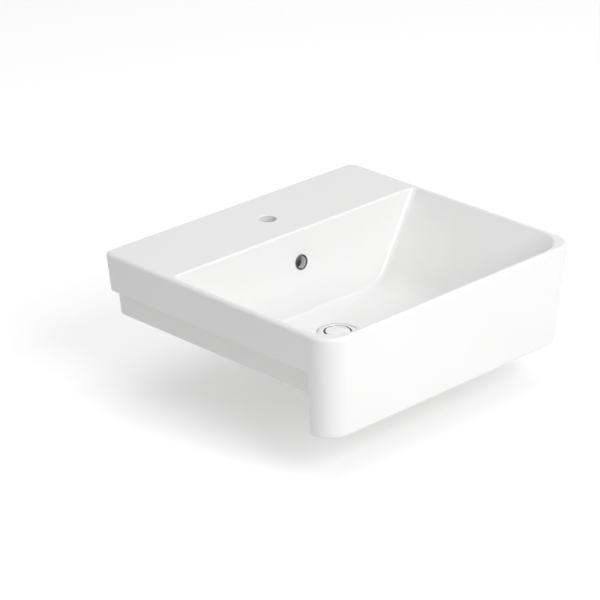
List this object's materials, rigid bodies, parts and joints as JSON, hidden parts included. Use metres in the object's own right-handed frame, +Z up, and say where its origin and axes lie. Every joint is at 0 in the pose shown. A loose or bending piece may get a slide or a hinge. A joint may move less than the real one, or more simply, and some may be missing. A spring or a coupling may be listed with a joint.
{
  "type": "semi-recessed countertop basin",
  "caption": "Rectangular semi-recessed washbasin with rear tap deck, sloping bowl, overflow ring, click-clack waste and a full-height front skirt.",
  "frame": {"origin": "on the seating plane that rests on the worktop, at the middle of the rear seating strip", "axes": "+Z up out of the worktop, -Y towards the user and the front skirt, X left to right, +X to the user's right"},
  "size_m": [0.549, 0.4871, 0.2354],
  "materials": {
    "glazed_china": "white glaze, glossy",
    "chrome": "polished chrome plate",
    "brass": "turned brass",
    "rubber": "moulded rubber",
    "soft_seal": "pale soft sealing ring",
    "nylon": "natural nylon",
    "acetal": "white acetal",
    "steel": "spring steel"
  },
  "bodies": {
    "basin": {"basin_body": "glazed_china", "overflow_ring": "chrome", "waste_body": "chrome", "flange_seal": "soft_seal", "under_seal": "rubber", "slip_washer": "nylon", "back_nut": "brass", "cartridge_housing": "brass", "cartridge_guide": "brass", "spindle_seal": "rubber", "click_crown": "acetal", "return_spring": "steel"},
    "plug": {"plug_cap": "chrome", "plug_seal": "rubber", "spindle": "brass", "spindle_clip": "steel"},
    "rotor": {"index_rotor": "acetal"}
  },
  "joints": [
    {"name": "plug_slide", "type": "slide", "parent": "basin", "child": "plug", "axis": [0, 0, 1], "range_m": [0, 0.008], "deforming": ["return_spring"]},
    {"name": "rotor_index", "type": "hinge", "parent": "plug", "child": "rotor", "pos_m": [0, -0.22838, -0.115], "axis": [0, 0, 1], "range_deg": [0, 45]}
  ],
  "couplings": [
    {"joint": "rotor_index", "follows": "plug_slide", "rad_per_m": 98.17}
  ]
}
